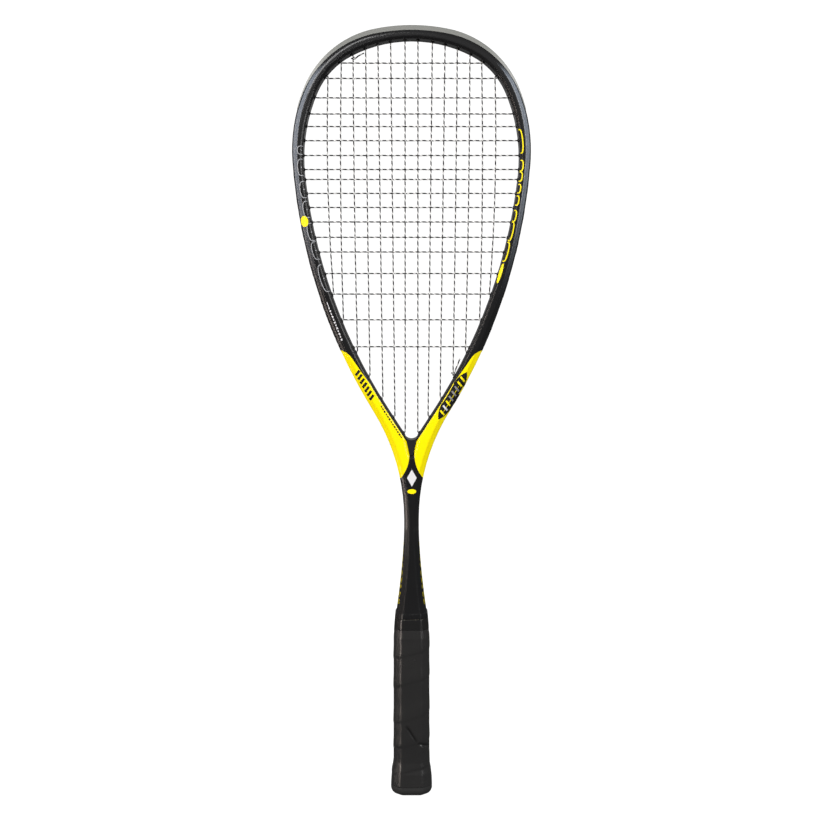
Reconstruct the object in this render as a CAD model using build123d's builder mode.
"""Squash racket: hollow graphite frame, moulded guards and grommets, one string, and a wrapped handle.

Millimetres. +Z runs up the racket from the butt to the tip, +X across the string bed and +Y through it.
The origin is the middle of the butt cap's flat end. The strings lie about the plane Y = 0.
"""

from build123d import *
import os
from math import acos, cos, radians, sin, tan

os.makedirs("parts", exist_ok=True)

# ---------------------------------------------------------------- driving dimensions
length = 685.0  # butt to tip
guard_drop = 1.8  # the frame's tip lies this far under the guard's
lap_drop = 4.2  # the guard's lapped edge at the crown, under the tip
beam_depth = 19.0
bed_top = 673.7  # inside of the hoop at the crown

# Arcs of half the racket's outer line, from the crown to the shaft: (radius, degrees to the right).
crown_arc = (162.6, 11.6)
shoulder_arc = (84.0, 56.3)
side_arc = (140.7, 26.0)
flank_arc = (478.0, 27.7)
throat_arc = (184.0, -31.6)
# Arcs of half the opening, crown to leg, and the straight leg that ends at the throat's slot.
opening_arcs = [(116.1, 26.8), (64.4, 39.4), (142.3, 30.0), (471.5, 26.7)]
leg_length = 28.0

ridge_inset = 4.6  # the outer facet's width seen from the front
facet_depth = 3.2  # how far that facet falls back
lip_chamfer = 2.0  # the narrow facet round the opening
wall = 1.1
void_bevel = (2.0, 1.4)
void_lip = 1.2

slot_bottom = 311.0
slot_half_width = 1.6
bridge_recess = 1.4  # the bridge's faces lie this far inside the frame's
bridge_shoulder = (5.15, 327.2)  # top corner of the bridge: half width, height
bridge_dip = 325.0
bridge_chamfer = 0.5

guard_depth = 16.4
guard_bevel = 0.9
guard_end = 614.0
guard_relief = 0.75  # how far the guard stands off the frame over the channel, to clear the string

# Grommet channel round the outside, the strips in it and their barrels.
channel_depth = 1.6
channel_width = 7.0
channel_end = 317.0
strip_thickness = 0.7
strip_gap = 0.05
string_gap = 0.15
head_strip_end = 634.0
side_strip_end = 461.5
barrel_diameter = 3.0
barrel_bore = 2.0
barrel_stand = 0.8  # how far a barrel stands out of the frame's inner wall
shared_diameter = 4.2
shared_bore = 3.2

# The string bed: 14 mains and 18 crosses of one woven string.
string_diameter = 1.2
weave_rise = 0.72  # each corner of the weave stands this far off the bed's plane
weave_radius = 10.0
mouth_stand = 1.6  # where a string turns into its barrel, inside the opening
mouth_reach = 0.9  # how far each side of that point the turn reaches
channel_reach = 1.3  # the same where it turns out of the barrel into the channel
channel_step = 8.0  # longest straight run of string along the curved channel
channel_ramp = 3.0  # how far along the channel a string takes to reach its lane
main_tops = [5.6, 18.1, 29.1, 39.8, 50.7, 61.0, 72.6]
main_feet = [5.6, 14.8, 25.5, 36.9, 47.9, 60.3, 68.8]
main_bow = 2.6  # how far the last main bows out in the middle of its length, and the others less
top_cross = 653.9
# From each cross to the next one down.
upper_gaps = [12.9, 16.6, 13.8, 10.8, 12.1, 12.8, 12.1, 8.6]
lower_gaps = [12.1, 12.2, 12.6, 13.4, 12.8, 18.9, 17.9, 23.9, 22.8]
cross_gaps = upper_gaps + lower_gaps
lane = 1.3  # strings that pass each other in the channel lie a whole number of these from its middle
shared_offset = 0.66  # two strings that share a barrel lie this far from its axis
head_tie_main = 4  # the left main, from the middle, that the head knot is tied to
throat_tie_main = 3  # the right main that the throat knot is tied to
shared_rows = {0: ("top", 5), 15: ("foot", 6), 16: ("foot", 5)}  # crosses that end in a main's barrel
knot_turns = 1
knot_radius = 1.45
knot_pitch = 1.3
knot_start = 1.2
throat_tail = [Vector(1.2, 0, 3.5), Vector(3.4, -0.4, 8.5)]
head_tail = [Vector(3.0, -1.6, 2.6), Vector(5.0, -0.5, 2.2)]

# Shaft, flare and handle.
shaft_end = 245.0
shaft_half_width = 6.62
flare_end = 164.0
flare_power = 1.62
pallet_half_width = 14.2
pallet_half_depth = 12.5
pallet_bevel = (6.3, 5.0)
pallet_corner = 1.0
core_half_width = 10.5
core_half_depth = 8.5
core_wall = 1.5
core_bottom = 4.0
fit_gap = 0.05

cap_floor = 2.2
cap_flange_height = 9.0
flat_spread = 0.45  # how much wider each half of a flat is round a wrapping, for each mm of it
cap_rounding = 7.0
cap_recess = 0.5
# The ring sunk into the cap's end lies between these: half width, half depth, bevel, corner.
recess_section = (12.0, 10.0, (6.5, 5.5), 2.0)
boss_section = (6.0, 5.0, (3.2, 2.7), 1.0)
staple_height = 12.0
staple_half_span = 4.0
staple_wire = 0.8
staple_crown_x = 16.0
staple_tip_x = 11.4
staple_play = 0.2  # how much deeper than a staple its holes are
plug_length = 20.0
adhesive_thickness = 0.2
adhesive_width = 10.0
flange_profile = [(0.0, 18.7), (cap_flange_height, 18.7)]  # (height, half width)
neck_profile = [(cap_flange_height, 17.3), (20.5, 16.5), (24.0, 15.7), (28.0, 15.3)]
neck_corner = 2.0
grip_foot = [(cap_flange_height, 18.7), (13.0, 18.55), (20.5, 17.9), (25.0, 17.1)]
grip_profile = [*grip_foot, (31.0, 16.5), (146.0, 16.3), (154.0, 15.5), (162.8, 14.85)]
tape_profile = [(154.0, 15.75), (162.8, 15.05), (163.3, 15.0)]
grip_corner = 6.0
flange_corner = 8.0
collar_profile = [(163.5, 14.95), (168.6, 14.4)]
collar_rounding = 0.3

half_depth = beam_depth / 2


# ---------------------------------------------------------------- shared outlines
def run(start, tangent, bends):
    """Draw arcs that each run on from the last, to the right or, with a minus, to the left."""
    for radius, turn in bends:
        arc = JernArc(start=start, tangent=tangent, radius=radius, arc_size=-turn)
        start = arc @ 1
        tangent = arc % 1
    return arc


def head_bends(drop, inset):
    """Arcs of a line that starts `drop` under the tip and runs into the side, lying `inset` further in."""
    first = radians(crown_arc[1])
    second = first + radians(shoulder_arc[1])
    third = second + radians(side_arc[1])
    trade = (sin(second) - sin(first)) / (sin(third) - sin(second))
    gain = drop / (trade * (cos(second) - cos(third)) - (cos(first) - cos(second)))
    shoulder = shoulder_arc[0] + gain
    side = side_arc[0] - trade * gain
    return [
        (crown_arc[0] - inset, crown_arc[1]),
        (shoulder - inset, shoulder_arc[1]),
        (side - inset, side_arc[1]),
        (flank_arc[0] - inset, flank_arc[1]),
        (throat_arc[0] + inset, throat_arc[1]),
    ]


def outer_half(drop=guard_drop, inset=0.0):
    """Half the line round the hoop, throat and shaft."""
    return run((0, length - drop - inset), (1, 0), head_bends(drop, inset))


def outer_outline(drop=guard_drop, inset=0.0):
    """The area inside the whole line, closed across the shaft's lower end."""
    with BuildSketch() as outline:
        with BuildLine():
            arcs = outer_half(drop, inset)
            foot = Line(arcs @ 1, ((arcs @ 1).X, shaft_end))
            Line(foot @ 1, (0, shaft_end))
            mirror(about=Plane.YZ)
        make_face()
    return outline.sketch


def opening_half(inset=0.0):
    """Half the hoop's opening down to the end of its straight leg."""
    bends = [(radius - inset, turn) for radius, turn in opening_arcs]
    arcs = run((0, bed_top - inset), (1, 0), bends)
    return Line(arcs @ 1, (arcs @ 1) + (arcs % 1) * leg_length)


def opening_outline(grown=0.0):
    """The opening with the slot that the throat bridge fills, or that area grown by a wall."""
    with BuildSketch() as outline:
        with BuildLine():
            leg = opening_half()
            slot = Line(leg @ 1, (slot_half_width, slot_bottom))
            Line(slot @ 1, (0, slot_bottom))
            mirror(about=Plane.YZ)
        make_face()
        if grown:
            offset(amount=grown, kind=Kind.INTERSECTION)
    return outline.sketch


def octagon(half_width, half_depth, bevel, corner=0.0):
    """A bevelled section about the origin, such as a racket handle's, with its corners eased."""
    x_flat = half_width - bevel[0]
    y_flat = half_depth - bevel[1]
    with BuildSketch() as section:
        with BuildLine():
            Polyline((0, half_depth), (x_flat, half_depth), (half_width, y_flat), (half_width, 0))
            mirror(about=Plane.YZ)
            mirror(about=Plane.XZ)
        make_face()
        if corner:
            fillet(section.vertices(), corner)
    return section.sketch


def flare_section(height, shrink_x=0.0, shrink_y=0.0):
    """The section of the flare between shaft and handle at a height."""
    share = (shaft_end - height) / (shaft_end - flare_end)
    swell = share**flare_power
    half_x = shaft_half_width + (pallet_half_width - shaft_half_width) * swell
    half_y = half_depth + (pallet_half_depth - half_depth) * swell
    bevel_x = ridge_inset + (pallet_bevel[0] - ridge_inset) * share
    bevel_y = facet_depth + (pallet_bevel[1] - facet_depth) * share
    slimmer = (half_x - shrink_x) / half_x
    return octagon(half_x - shrink_x, half_y - shrink_y, (bevel_x * slimmer, bevel_y * slimmer))


# ---------------------------------------------------------------- where the strings run
string_inset = channel_depth - strip_gap - strip_thickness - string_gap - string_diameter / 2
with BuildLine() as channel_half:
    outer_half(inset=string_inset)
with BuildLine() as mouth_half:
    opening_half(inset=mouth_stand)
channel_line = channel_half.wire()
mouth_line = mouth_half.wire()


def first_share(low, high, reached):
    """How far along the mouth line, between two shares of it, the test turns true."""
    for _ in range(30):
        middle = (low + high) / 2
        if reached(mouth_line @ middle):
            high = middle
        else:
            low = middle
    return high


class Hole:
    """A string hole: where the string turns into it, where it leaves by the channel, and its side."""

    def __init__(self, share, side, main_sign=0):
        mouth = mouth_line @ share
        _, _, leave = Vertex(mouth.X, mouth.Y, 0).distance_to_with_closest_points(channel_line)
        self.side = side
        self.shared = main_sign != 0
        self.mouth = Vector(side * mouth.X, 0, mouth.Y)
        self.leave = Vector(side * leave.X, 0, leave.Y)
        self.channel = channel_line.param_at_point(leave) * channel_line.length
        self.axis = (self.leave - self.mouth).normalized()
        self.main = Vector(0, main_sign * shared_offset, 0)
        self.other = Vector(0, -main_sign * shared_offset, 0)


def channel_point(distance, side, y):
    """A point on the channel's string line, so far round from the tip."""
    flat = channel_line @ (distance / channel_line.length)
    return Vector(side * flat.X, y, flat.Y)


widest = first_share(0, 1, lambda point: (mouth_line % mouth_line.param_at_point(point)).X < 0)
sides = (-1, 1)
mains = range(len(main_tops))
last_main = mains[-1]
rows = range(len(cross_gaps) + 1)

# Which side of a shared barrel's axis the main lies on, chosen so that no string has to cross another.
main_signs = {("top", -1, head_tie_main): 1, ("foot", 1, throat_tie_main): -1}
for side in sides:
    for end, index in shared_rows.values():
        main_signs[end, side, index] = 1
main_signs["foot", -1, last_main] = -1


def main_hole(end, side, index):
    """The hole at one end of a main."""
    if end == "top":
        share = first_share(0, widest, lambda point: point.X > main_tops[index])
    else:
        share = first_share(widest, 1, lambda point: point.X < main_feet[index])
    return Hole(share, side, main_signs.get((end, side, index), 0))


main_ends = [(end, side, index) for end in ("top", "foot") for side in sides for index in mains]
main_holes = {main_end: main_hole(*main_end) for main_end in main_ends}


def cross_hole(side, row):
    """The hole at one end of a cross, its own or a main's."""
    if row in shared_rows:
        end, index = shared_rows[row]
        return main_holes[end, side, index]
    height = top_cross - sum(cross_gaps[:row])
    return Hole(first_share(0, 1, lambda point: point.Y < height), side)


cross_holes = {(side, row): cross_hole(side, row) for side in sides for row in rows}
own_cross_holes = [hole for (side, row), hole in cross_holes.items() if row not in shared_rows]
holes = [*main_holes.values(), *own_cross_holes]


def lift(side, index, row):
    """How far off the bed's plane a main passes a cross; the cross passes it as far the other way."""
    column = index if side > 0 else -1 - index
    return weave_rise if (column + row) % 2 else -weave_rise


def main_x(side, index, height):
    """Where a main stands at a height; the mains fan out towards the crown, and the outer ones bow."""
    foot = main_holes["foot", side, index].mouth
    top = main_holes["top", side, index].mouth
    share = (height - foot.Z) / (top.Z - foot.Z)
    bow = main_bow * (index / last_main) ** 3
    return foot.X + (top.X - foot.X) * share + side * bow * 4 * share * (1 - share)


def meets(side, index, row):
    """Whether a main and a cross pass each other."""
    edge = cross_holes[side, row].mouth
    foot = main_holes["foot", side, index].mouth.Z
    top = main_holes["top", side, index].mouth.Z
    return foot + 1 < edge.Z < top - 1 and abs(main_x(side, index, edge.Z)) < abs(edge.X) - 1


def main_span(side, index, rising=True):
    """Points of one main, over and under the crosses that it meets."""
    foot = main_holes["foot", side, index]
    top = main_holes["top", side, index]
    points = [(foot.mouth + foot.main, mouth_reach)]
    for row in reversed(rows):
        if meets(side, index, row):
            height = cross_holes[side, row].mouth.Z
            points.append((Vector(main_x(side, index, height), lift(side, index, row), height), None))
    points.append((top.mouth + top.main, mouth_reach))
    return points if rising else points[::-1]


def cross_span(row, rightward=True):
    """Points of one cross, under and over the mains."""
    left = cross_holes[-1, row]
    right = cross_holes[1, row]
    height = left.mouth.Z
    points = [(left.mouth + left.other, mouth_reach)]
    for side, index in [(-1, index) for index in reversed(mains)] + [(1, index) for index in mains]:
        if meets(side, index, row):
            points.append((Vector(main_x(side, index, height), -lift(side, index, row), height), None))
    points.append((right.mouth + right.other, mouth_reach))
    return points if rightward else points[::-1]


def loop(begin, end, y):
    """Points from one hole's end to the next by the channel; each end is (hole, place in its barrel)."""
    first, first_place = begin
    second, second_place = end
    points = [(first.leave + first_place, channel_reach)]
    if first.side == second.side:
        span = second.channel - first.channel
        ramp = min(channel_ramp, abs(span) * 0.4) * (1 if span > 0 else -1)
        steps = max(1, round(abs(span - 2 * ramp) / channel_step))
        for step in range(steps + 1):
            distance = first.channel + ramp + (span - 2 * ramp) * step / steps
            points.append((channel_point(distance, first.side, y), None))
    else:
        points.append((channel_point(0, 1, y), None))
    return points + [(second.leave + second_place, channel_reach)]


def main_place(end, side, index):
    """A main's place in its hole, for a loop."""
    hole = main_holes[end, side, index]
    return hole, hole.main


def cross_place(side, row):
    """A cross's place in its hole, for a loop."""
    hole = cross_holes[side, row]
    return hole, hole.other


def knot(hole, onward, hand, tail):
    """Points of an end that leaves a barrel, winds round the main beside it, and is left standing."""
    mouth = hole.mouth + hole.main
    along = (onward - mouth).normalized()
    out = hole.other - hole.main
    out = (out - along * out.dot(along)).normalized()
    aside = along.cross(out) * hand
    per_turn = 8
    points = [(hole.mouth + hole.other, mouth_reach)]
    for step in range(knot_turns * per_turn + 3):
        angle = radians(360 * step / per_turn)
        centre = mouth + along * (knot_start + knot_pitch * step / per_turn)
        points.append((centre + (out * cos(angle) + aside * sin(angle)) * knot_radius, None))
    for stretch in tail:
        points.append((points[-1][0] + stretch, None))
    return points


def side_of_mains(side, order):
    """Every main of one side in the given order, with the loops between them."""
    points = []
    for index, following in zip(order, [*order[1:], None]):
        rising = (index % 2 == 0) == (side > 0)
        points += main_span(side, index, rising)
        if following is not None:
            end = "top" if rising else "foot"
            to_knot = (end, side, index) == ("foot", 1, throat_tie_main)
            y = -lane if to_knot else lane
            points += loop(main_place(end, side, index), main_place(end, side, following), y)
    return points


def one_string():
    """The whole route: throat knot, mains from right to left, crosses from the throat up, head knot."""
    throat_tie = main_holes["foot", 1, throat_tie_main]
    head_tie = main_holes["top", -1, head_tie_main]
    throat_next = main_span(1, throat_tie_main)[1][0]
    head_next = main_span(-1, head_tie_main, rising=False)[1][0]
    last_row = rows[-1]

    route = knot(throat_tie, throat_next, -1, throat_tail)[::-1]
    route += loop((throat_tie, throat_tie.other), main_place("foot", 1, last_main), 2 * lane)
    route += side_of_mains(1, list(reversed(mains)))
    route += loop(main_place("top", 1, 0), main_place("top", -1, 0), lane)
    route += side_of_mains(-1, list(mains))
    route += loop(main_place("foot", -1, last_main), cross_place(-1, last_row), -2 * lane)
    for row in reversed(rows):
        rightward = (last_row - row) % 2 == 0
        side = 1 if rightward else -1
        route += cross_span(row, rightward)
        if row:
            between_shared = side < 0 and row in shared_rows and row - 1 in shared_rows
            y = 0 if between_shared else -lane
            route += loop(cross_place(side, row), cross_place(side, row - 1), y)
    route += loop(cross_place(-1, 0), (head_tie, head_tie.other), -2 * lane)
    return route + knot(head_tie, head_next, -1, head_tail)


def eased(route):
    """A wire through the route's points, each corner eased by the largest arc it has room for."""
    points = [point for point, _ in route]
    edges = []
    last = points[0]
    for number in range(1, len(points) - 1):
        corner = points[number]
        back = points[number - 1] - corner
        ahead = points[number + 1] - corner
        turn = radians(180) - acos(max(-1, min(1, back.normalized().dot(ahead.normalized()))))
        if turn < radians(0.2):
            continue
        reach = route[number][1] or 0.45 * min(back.length, ahead.length)
        radius = min(weave_radius, reach / tan(turn / 2))
        reach = radius * tan(turn / 2)
        begin = corner + back.normalized() * reach
        end = corner + ahead.normalized() * reach
        inward = (back.normalized() + ahead.normalized()).normalized()
        middle = corner + inward * (radius / cos(turn / 2) - radius)
        edges.append(Edge.make_line(last, begin))
        edges.append(Edge.make_three_point_arc(begin, middle, end))
        last = end
    edges.append(Edge.make_line(last, points[-1]))
    return Wire(edges)


string_route = eased(one_string())
print(f"string: {string_route.length / 1000:.2f} m")


# ---------------------------------------------------------------- shapes that several pieces share
def hoop_plate(outline, depth, bevel):
    """An outline's area at the given depth, its outer edges bevelled back by (width, depth)."""
    with BuildPart() as plate:
        with BuildSketch(Plane.XZ):
            add(outline)
        extrude(amount=depth / 2, both=True)
        for end in (0, -1):
            face = plate.faces().sort_by(Axis.Y)[end]
            rim = face.edges().filter_by(lambda edge: (edge @ 0.5).Z > shaft_end + 1)
            chamfer(rim, length=bevel[0], length2=bevel[1], reference=face)
    return plate.part


def flat_band(outer_inset, inner_inset, top, bottom, side=0):
    """The strip of area that follows the hoop's outer line between two heights, on one side or both."""
    with BuildSketch() as area:
        add(outer_outline(inset=outer_inset))
        add(outer_outline(inset=inner_inset), mode=Mode.SUBTRACT)
        with Locations((side * length / 2, (top + bottom) / 2)):
            Rectangle(length, top - bottom, mode=Mode.INTERSECT)
    return area.sketch


def flare(top, bottom, shrink_x=(0.0, 0.0), shrink_y=0.0):
    """A solid through the flare's sections between two heights."""
    steps = 4
    with BuildPart() as swelling:
        for step in range(steps + 1):
            height = top + (bottom - top) * step / steps
            less = shrink_x[0] + (shrink_x[1] - shrink_x[0]) * step / steps
            with BuildSketch(Plane.XY.offset(height)):
                add(flare_section(height, less, shrink_y))
        loft()
    return swelling.part


def drillings(chosen, diameter, wide_diameter, start, stop):
    """A cylinder on each hole's axis, from past its turning point to short of its leaving one."""
    with BuildPart() as bits:
        for hole in chosen:
            with BuildSketch(Plane(origin=hole.mouth + hole.axis * start, z_dir=hole.axis)):
                Circle((wide_diameter if hole.shared else diameter) / 2)
            extrude(amount=(hole.leave - hole.mouth).length - start - stop)
    return bits.part


def prism(section, bottom, top):
    """A section about the origin drawn up between two heights."""
    with BuildPart() as block:
        with BuildSketch(Plane.XY.offset(bottom)):
            add(section)
        extrude(amount=top - bottom)
    return block.part


def pallet_section(grown=0.0, corner=0.0):
    """The handle's own section, before anything is wrapped round it."""
    return octagon(pallet_half_width + grown, pallet_half_depth + grown, pallet_bevel, corner)


def wrapped(profile, corner):
    """A solid with the pallet's kind of section, as wide at each height as the profile says."""
    with BuildPart() as solid:
        for height, half_width in profile:
            thickness = half_width - pallet_half_width
            bevel = [side + thickness * (1 - flat_spread) for side in pallet_bevel]
            with BuildSketch(Plane.XY.offset(height)):
                add(octagon(half_width, pallet_half_depth + thickness, bevel, corner))
        loft(ruled=True)
    return solid.part


def finish(part, label):
    """Name a finished piece and write it."""
    part.label = label
    export_step(part, f"parts/{label}.step")


# ---------------------------------------------------------------- frame
hoop_blank = hoop_plate(outer_outline(), beam_depth, (ridge_inset, facet_depth))

with BuildPart() as frame_void:
    add(hoop_plate(outer_outline(inset=channel_depth + wall), beam_depth - 2 * wall, void_bevel))
    with BuildSketch(Plane.XZ):
        add(opening_outline(grown=wall))
    extrude(amount=beam_depth, both=True, mode=Mode.SUBTRACT)
    for end in (0, -1):
        face = frame_void.faces().filter_by(Axis.Y).sort_by(Axis.Y)[end]
        chamfer(face.inner_wires()[0].edges(), length=void_lip)
    add(flare(shaft_end, flare_end + 2 * wall, (channel_depth + wall, core_wall), wall))
    with BuildSketch(Plane.XY.offset(core_bottom)):
        RectangleRounded(2 * (core_half_width - core_wall), 2 * (core_half_depth - core_wall), core_wall)
    extrude(amount=flare_end + 3 * wall - core_bottom)

with BuildPart() as frame:
    add(hoop_blank)
    add(flare(shaft_end, flare_end))
    with BuildSketch(Plane.XY.offset(core_bottom)):
        RectangleRounded(2 * core_half_width, 2 * core_half_depth, 2 * core_wall)
    extrude(amount=flare_end - core_bottom)
    with BuildSketch(Plane.XZ):
        add(opening_outline())
    extrude(amount=beam_depth, both=True, mode=Mode.SUBTRACT)
    for end in (0, -1):
        face = frame.faces().filter_by(Axis.Y).sort_by(Axis.Y)[end]
        chamfer(face.inner_wires()[0].edges(), length=lip_chamfer)
    add(frame_void.part, mode=Mode.SUBTRACT)
    with BuildSketch(Plane.XZ):
        add(flat_band(-guard_drop, channel_depth, length, channel_end))
    extrude(amount=channel_width / 2, both=True, mode=Mode.SUBTRACT)
    drilled = drillings(holes, barrel_diameter + 2 * fit_gap, shared_diameter + 2 * fit_gap, 0, -2)
    add(drilled, mode=Mode.SUBTRACT)
finish(frame.part, "frame")

# ---------------------------------------------------------------- throat bridge
with BuildPart() as throat_bridge:
    with BuildSketch(Plane.XZ):
        with BuildLine():
            toe = (slot_half_width - fit_gap, slot_bottom + fit_gap)
            other_shoulder = (-bridge_shoulder[0], bridge_shoulder[1])
            ThreePointArc(other_shoulder, (0, bridge_dip), bridge_shoulder)
            Polyline(bridge_shoulder, toe, (-toe[0], toe[1]), other_shoulder)
        make_face()
    extrude(amount=half_depth - bridge_recess, both=True)
    chamfer(throat_bridge.faces().filter_by(Axis.Y).edges(), length=bridge_chamfer)
finish(throat_bridge.part, "throat_bridge")

# ---------------------------------------------------------------- bumper guard
with BuildPart() as bumper_guard:
    add(hoop_plate(outer_outline(drop=0), guard_depth, (guard_bevel, guard_bevel)))
    with BuildSketch(Plane.XZ):
        add(outer_outline(drop=0, inset=-1))
        add(outer_outline(drop=lap_drop), mode=Mode.SUBTRACT)
        with Locations((0, guard_end + length / 2)):
            Rectangle(length, length, mode=Mode.INTERSECT)
    extrude(amount=beam_depth, both=True, mode=Mode.INTERSECT)
    add(hoop_blank, mode=Mode.SUBTRACT)
    with BuildSketch(Plane.XZ):
        add(flat_band(-guard_relief, channel_depth, length, guard_end - 1))
    extrude(amount=channel_width / 2, both=True, mode=Mode.SUBTRACT)
finish(bumper_guard.part, "bumper_guard")


# ---------------------------------------------------------------- grommet strips
def grommet_strip(top, bottom, side=0):
    """A strip that lies in the channel, with a barrel for each hole between two heights."""
    floor = channel_depth - strip_gap
    chosen = [hole for hole in holes if bottom < hole.leave.Z < top and hole.side * side >= 0]
    with BuildPart() as strip:
        with BuildSketch(Plane.XZ):
            add(flat_band(floor - strip_thickness, floor, top, bottom, side))
        extrude(amount=channel_width / 2 - strip_gap, both=True)
        barrel_start = mouth_stand - barrel_stand
        add(drillings(chosen, barrel_diameter, shared_diameter, barrel_start, 1.0))
        add(drillings(chosen, barrel_bore, shared_bore, 0, -1), mode=Mode.SUBTRACT)
    return strip.part


finish(grommet_strip(length, head_strip_end + fit_gap), "head_grommet_strip")
for side, name in ((-1, "left"), (1, "right")):
    side_strip = grommet_strip(head_strip_end - fit_gap, side_strip_end + fit_gap, side)
    throat_strip = grommet_strip(side_strip_end - fit_gap, channel_end + fit_gap, side)
    finish(side_strip, f"{name}_side_grommet_strip")
    finish(throat_strip, f"{name}_throat_grommet_strip")

# ---------------------------------------------------------------- string
with BuildPart() as string:
    with BuildSketch(Plane(origin=string_route @ 0, z_dir=string_route % 0)):
        Circle(string_diameter / 2)
    sweep(path=string_route)
finish(string.part, "string")

# ---------------------------------------------------------------- butt cap staples
staple_plane = Plane(origin=(0, 0, staple_height))
with BuildPart() as staple:
    with BuildLine(staple_plane):
        FilletPolyline(
            (staple_tip_x, staple_half_span),
            (staple_crown_x, staple_half_span),
            (staple_crown_x, -staple_half_span),
            (staple_tip_x, -staple_half_span),
            radius=staple_wire,
        )
    with BuildSketch(Plane(origin=(staple_tip_x, staple_half_span, staple_height), z_dir=(1, 0, 0))):
        Circle(staple_wire / 2)
    sweep()
with BuildPart() as butt_cap_staples:
    add(staple.part)
    mirror(about=Plane.YZ)
finish(butt_cap_staples.part, "butt_cap_staples")

with BuildPart() as staple_holes:
    with BuildSketch(Plane.YZ):
        with Locations((-staple_half_span, staple_height), (staple_half_span, staple_height)):
            Circle(staple_wire / 2 + fit_gap)
    extrude(amount=staple_crown_x, both=True)
    with BuildSketch(Plane.YZ):
        Rectangle(length, length)
    extrude(amount=staple_tip_x - staple_play, both=True, mode=Mode.SUBTRACT)


# ---------------------------------------------------------------- handle
def handle_half(front):
    """Half of the foam pallet that is bonded round the frame's core."""
    with BuildPart() as half:
        add(prism(pallet_section(corner=pallet_corner), cap_floor + fit_gap, flare_end - fit_gap))
        with BuildSketch(Plane.XY):
            core_space = (2 * (core_half_width + fit_gap), 2 * (core_half_depth + fit_gap))
            RectangleRounded(*core_space, 2 * core_wall)
        extrude(amount=flare_end, mode=Mode.SUBTRACT)
        add(staple_holes.part, mode=Mode.SUBTRACT)
        split(bisect_by=Plane.XZ, keep=Keep.TOP if front else Keep.BOTTOM)
    return half.part


finish(handle_half(front=True), "handle_half_front")
finish(handle_half(front=False), "handle_half_back")

with BuildPart() as core_plug:
    with BuildSketch(Plane.XY.offset(core_bottom)):
        inner = core_wall + fit_gap
        RectangleRounded(2 * (core_half_width - inner), 2 * (core_half_depth - inner), core_wall)
    extrude(amount=plug_length)
finish(core_plug.part, "core_plug")

# ---------------------------------------------------------------- butt cap
neck_blank = wrapped(neck_profile, neck_corner)
with BuildPart() as butt_cap:
    add(wrapped(flange_profile, flange_corner))
    fillet(butt_cap.faces().sort_by(Axis.Z)[0].edges(), cap_rounding)
    add(neck_blank)
    with BuildSketch(Plane.XY.offset(cap_floor)):
        add(pallet_section(grown=fit_gap))
    extrude(amount=length, mode=Mode.SUBTRACT)
    with BuildSketch(Plane.XY):
        add(octagon(*recess_section))
        add(octagon(*boss_section), mode=Mode.SUBTRACT)
    extrude(amount=cap_recess, mode=Mode.SUBTRACT)
    add(staple_holes.part, mode=Mode.SUBTRACT)
    for side in sides:
        with Locations((side * (staple_crown_x + staple_wire), 0, staple_height)):
            seat = (4 * staple_wire, 2 * (staple_half_span + staple_wire), 2 * staple_wire)
            Box(*seat, mode=Mode.SUBTRACT)
finish(butt_cap.part, "butt_cap")

# ---------------------------------------------------------------- grip
pallet_blank = prism(pallet_section(corner=pallet_corner), 0, flare_end)
grip_blank = wrapped(grip_profile, grip_corner)
adhesive_bottom = neck_profile[-1][0] + 4
adhesive_height = tape_profile[0][0] - 6 - adhesive_bottom
with BuildPart() as grip_adhesive_strips:
    for side in sides:
        stand = pallet_half_depth + adhesive_thickness / 2
        with Locations((0, side * stand, adhesive_bottom + adhesive_height / 2)):
            Box(adhesive_width, adhesive_thickness, adhesive_height)
finish(grip_adhesive_strips.part, "grip_adhesive_strips")

with BuildPart() as grip_tape:
    add(grip_blank)
    add(neck_blank, mode=Mode.SUBTRACT)
    add(pallet_blank, mode=Mode.SUBTRACT)
    add(grip_adhesive_strips.part, mode=Mode.SUBTRACT)
finish(grip_tape.part, "grip_tape")

with BuildPart() as finishing_tape:
    add(wrapped(tape_profile, grip_corner))
    add(grip_blank, mode=Mode.SUBTRACT)
    add(pallet_blank, mode=Mode.SUBTRACT)
finish(finishing_tape.part, "finishing_tape")

with BuildPart() as grip_collar:
    add(wrapped(collar_profile, neck_corner))
    fillet(grip_collar.faces().filter_by(Axis.Z).edges(), collar_rounding)
    add(prism(pallet_section(grown=fit_gap), 0, flare_end), mode=Mode.SUBTRACT)
    add(flare(shaft_end, flare_end, (-fit_gap, -fit_gap), -fit_gap), mode=Mode.SUBTRACT)
finish(grip_collar.part, "grip_collar")
